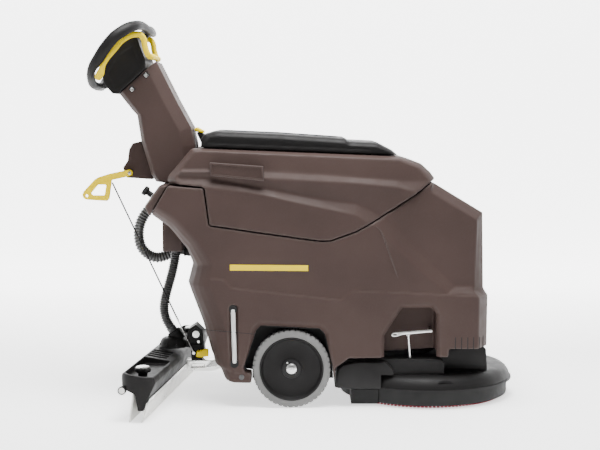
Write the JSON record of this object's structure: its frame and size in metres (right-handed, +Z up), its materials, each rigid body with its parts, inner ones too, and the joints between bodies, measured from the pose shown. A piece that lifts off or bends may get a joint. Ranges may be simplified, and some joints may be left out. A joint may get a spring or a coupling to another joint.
{
  "type": "wet dry floor scrubber",
  "caption": "Walk-behind floor scrubber with a disc brush deck, a swivelling squeegee, a tilting dirty water tank, a lidded top and a loop handle on a column.",
  "frame": {"origin": "on the floor, at the middle of the machine's bounding box", "axes": "+X towards the brush head, +Y to the machine's left, +Z up"},
  "size_m": [1.166, 0.7741, 1.0076],
  "materials": {
    "body": "rotomoulded taupe grey plastic, satin with a fine grain",
    "black": "moulded black plastic, satin",
    "yellow": "moulded yellow plastic, semi-gloss",
    "steel": "bright zinc-plated and stainless steel",
    "rubber": "black ribbed rubber, matt",
    "frame": "black painted metal",
    "tyre": "light grey non-marking rubber with tread blocks",
    "bristle": "red nylon tufts",
    "blade": "pale translucent polyurethane",
    "clear": "clear plastic, pale where it holds water",
    "cable": "plastic-coated steel wire rope"
  },
  "bodies": {
    "chassis": {"lower_housing": "body", "hose_collar": "body", "hose_lug": "body", "drain_cuff": "black", "chassis_plate": "frame", "axle": "steel", "arm_pivot_pin": "steel", "head_pivot_shaft": "steel", "battery_rear": "black", "battery_front": "black", "suction_turbine": "black", "control_unit": "frame", "level_tube": "clear", "level_fitting_top": "rubber", "level_fitting_bottom": "rubber", "column_right": "body", "column_left": "body", "lever_bracket": "body", "console_housing": "black", "console_panel": "frame", "battery_display": "clear", "handle_loop": "black", "drain_hose": "rubber", "suction_hose": "rubber"},
    "wheel_right": {"tyre_right": "tyre", "rim_right": "black", "hub_cap_right": "steel"},
    "wheel_left": {"tyre_left": "tyre", "rim_left": "black", "hub_cap_left": "steel"},
    "brush_head": {"brush_deck": "black", "splash_skirt": "rubber", "deck_tail": "black", "motor_cover": "black", "brush_motor": "frame"},
    "brush": {"brush_disc": "black", "brush_bristles": "bristle"},
    "head_lever": {"head_lift_lever": "steel"},
    "head_rod": {"head_lift_rod": "steel"},
    "squeegee_arm": {"arm_bar": "steel", "arm_head": "black", "suction_nozzle": "black"},
    "squeegee": {"squeegee_body": "black", "blade_front": "blade", "blade_rear": "blade"},
    "knob_right": {"squeegee_knob_right": "steel"},
    "knob_left": {"squeegee_knob_left": "steel"},
    "latch": {"release_latch": "yellow"},
    "lift_lever": {"lift_lever": "yellow"},
    "lift_cable": {"lift_cable": "cable"},
    "tank": {"dirty_water_tank": "body"},
    "lid": {"tank_lid": "black", "lid_tab": "yellow", "lid_seal": "rubber", "float_filter": "black"},
    "safety_bar": {"safety_bar": "yellow"},
    "dosing_knob": {"dosing_knob": "black"},
    "program_dial": {"program_dial": "black"},
    "start_button": {"start_button": "yellow"}
  },
  "joints": [
    {"name": "wheel_right_roll", "type": "hinge", "parent": "chassis", "child": "wheel_right", "pos_m": [-0.022, -0.19, 0.102], "axis": [0, 1, 0], "continuous": true},
    {"name": "wheel_left_roll", "type": "hinge", "parent": "chassis", "child": "wheel_left", "pos_m": [-0.022, 0.19, 0.102], "axis": [0, 1, 0], "continuous": true},
    {"name": "head_lift", "type": "hinge", "parent": "chassis", "child": "brush_head", "pos_m": [0.104, 0, 0.1], "axis": [0, -1, 0], "range_deg": [0, 3.5]},
    {"name": "brush_spin", "type": "hinge", "parent": "brush_head", "child": "brush", "pos_m": [0.34, 0, 0.05], "axis": [0, 0, 1], "continuous": true},
    {"name": "head_lever_turn", "type": "hinge", "parent": "chassis", "child": "head_lever", "pos_m": [0.341, -0.186, 0.1985], "axis": [0, 1, 0], "range_deg": [0, 11.5]},
    {"name": "head_rod_turn", "type": "hinge", "parent": "head_lever", "child": "head_rod", "pos_m": [0.283, -0.186, 0.1885], "axis": [0, 1, 0], "range_deg": [-11.5, 0]},
    {"name": "squeegee_lift", "type": "hinge", "parent": "chassis", "child": "squeegee_arm", "pos_m": [-0.195, 0, 0.088], "axis": [0, 1, 0], "range_deg": [0, 18], "deforming": ["suction_hose"]},
    {"name": "squeegee_swivel", "type": "hinge", "parent": "squeegee_arm", "child": "squeegee", "pos_m": [-0.35, 0, 0.1], "axis": [0, 0, 1], "range_deg": [-8.5, 21.5]},
    {"name": "knob_right_turn", "type": "hinge", "parent": "squeegee", "child": "knob_right", "pos_m": [-0.39702, -0.30665, 0.1043], "axis": [0, 0, 1], "continuous": true},
    {"name": "knob_left_turn", "type": "hinge", "parent": "squeegee", "child": "knob_left", "pos_m": [-0.32683, 0.30937, 0.1043], "axis": [0, 0, 1], "continuous": true},
    {"name": "latch_lift", "type": "hinge", "parent": "squeegee_arm", "child": "latch", "pos_m": [-0.257, -0.038, 0.113], "axis": [0, 1, 0], "range_deg": [0, 25]},
    {"name": "lever_turn", "type": "hinge", "parent": "chassis", "child": "lift_lever", "pos_m": [-0.458, -0.0485, 0.605], "axis": [0, 1, 0], "range_deg": [0, 21]},
    {"name": "cable_swing", "type": "hinge", "parent": "lift_lever", "child": "lift_cable", "pos_m": [-0.51, -0.034, 0.5832], "axis": [0, 1, 0], "range_deg": [-23.5, 0]},
    {"name": "tank_tilt", "type": "hinge", "parent": "chassis", "child": "tank", "pos_m": [0.35, 0, 0.59], "axis": [0, 1, 0], "range_deg": [0, 55]},
    {"name": "lid_open", "type": "hinge", "parent": "tank", "child": "lid", "pos_m": [0.258, 0, 0.66], "axis": [0, 1, 0], "range_deg": [0, 80]},
    {"name": "safety_bar_squeeze", "type": "hinge", "parent": "chassis", "child": "safety_bar", "pos_m": [-0.393, 0, 0.915], "axis": [0, 1, 0], "range_deg": [0, 1.2], "stiffness_Nm_per_rad": 5},
    {"name": "dosing_turn", "type": "hinge", "parent": "chassis", "child": "dosing_knob", "pos_m": [-0.391, -0.12, 0.5493], "axis": [-0.8107, 0, 0.5855], "range_deg": [0, 180]},
    {"name": "dial_turn", "type": "hinge", "parent": "chassis", "child": "program_dial", "pos_m": [-0.50742, 0, 0.91016], "axis": [-0.8609, 0, 0.5087], "range_deg": [-90, 90]},
    {"name": "button_press", "type": "slide", "parent": "chassis", "child": "start_button", "axis": [0.8609, 0, -0.5087], "range_m": [0, 0.0035], "stiffness_N_per_m": 250}
  ],
  "couplings": [
    {"joint": "head_lever_turn", "follows": "head_lift", "ratio": 3.155},
    {"joint": "head_rod_turn", "follows": "head_lift", "ratio": -3.155},
    {"joint": "lever_turn", "follows": "squeegee_lift", "ratio": 1.147},
    {"joint": "cable_swing", "follows": "squeegee_lift", "ratio": -1.271}
  ]
}
